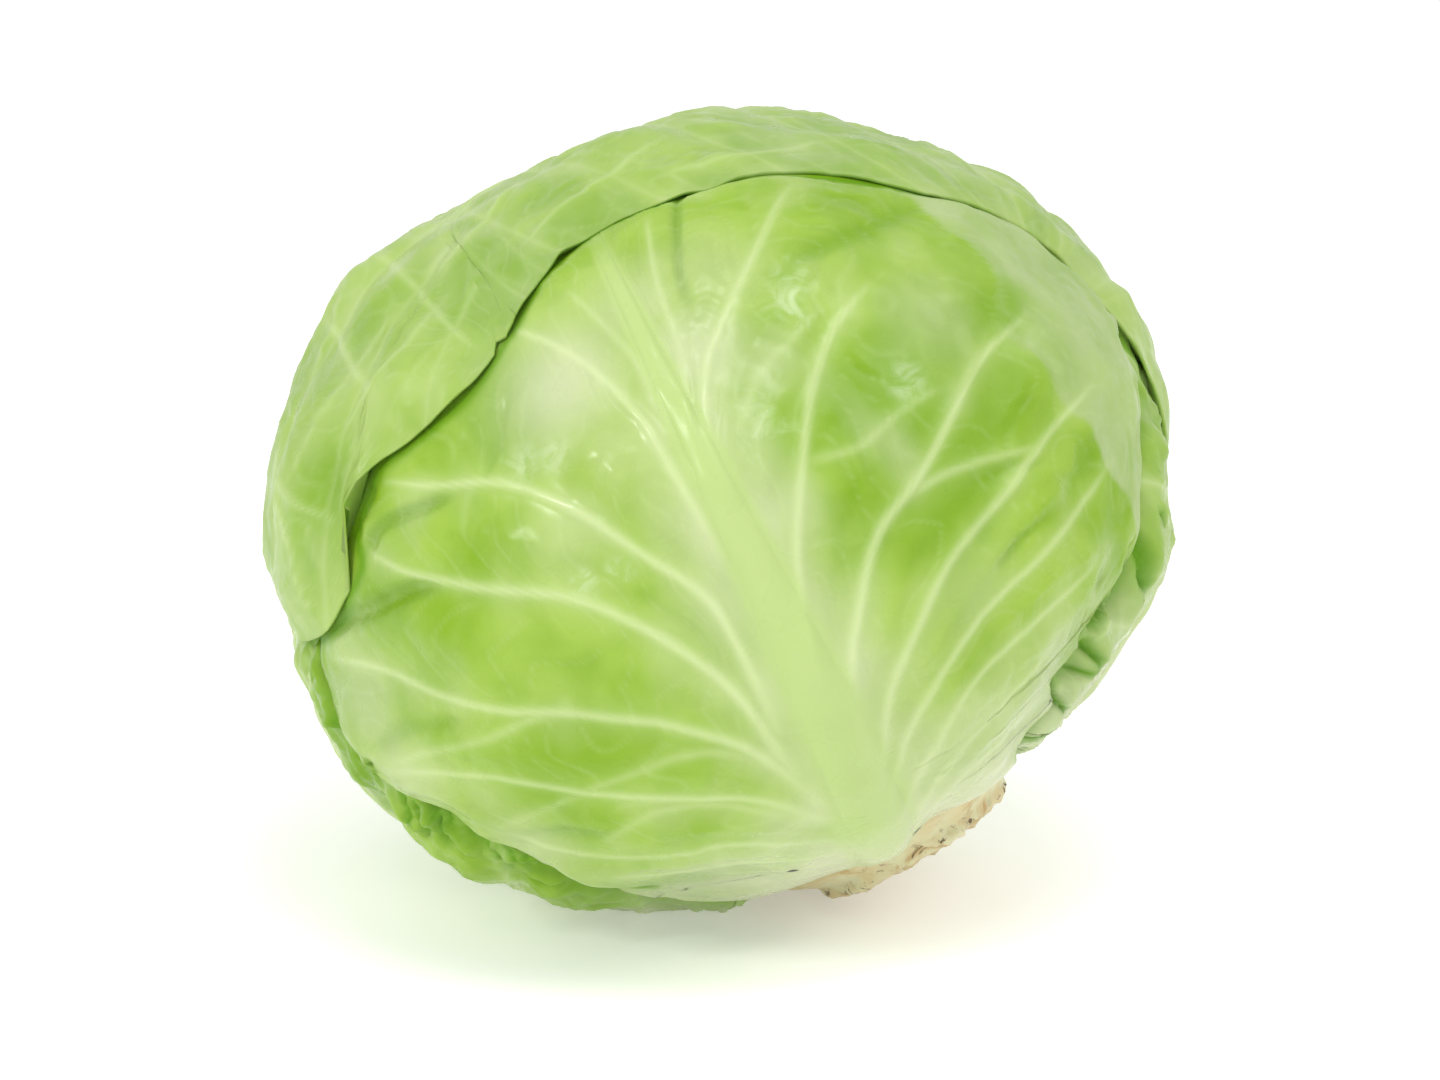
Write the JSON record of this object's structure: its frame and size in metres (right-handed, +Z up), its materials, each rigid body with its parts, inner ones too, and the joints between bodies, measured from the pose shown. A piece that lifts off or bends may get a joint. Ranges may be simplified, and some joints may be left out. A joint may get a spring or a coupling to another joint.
{
  "type": "cabbage",
  "caption": "Whole head of green cabbage on its side, with veined wrapper leaves overlapping round a dense head and a cut stem.",
  "frame": {"origin": "middle of the spot that the head rests on, at the floor", "axes": "+Z up with the head lying as it rests, +X towards the cut stem's side, -Y towards the front leaf's midrib"},
  "size_m": [0.1774, 0.1804, 0.1537],
  "materials": {
    "leaf": "waxy green leaf with pale raised veins",
    "inner_leaf": "smooth pale green leaf",
    "stem": "matt cream cut stem with tan scars"
  },
  "bodies": {
    "root": {"stem": "stem", "inner_head": "inner_leaf", "leaf_rear": "leaf", "leaf_right": "leaf", "leaf_left": "leaf", "leaf_front": "leaf", "leaf_top": "leaf"}
  },
  "joints": []
}
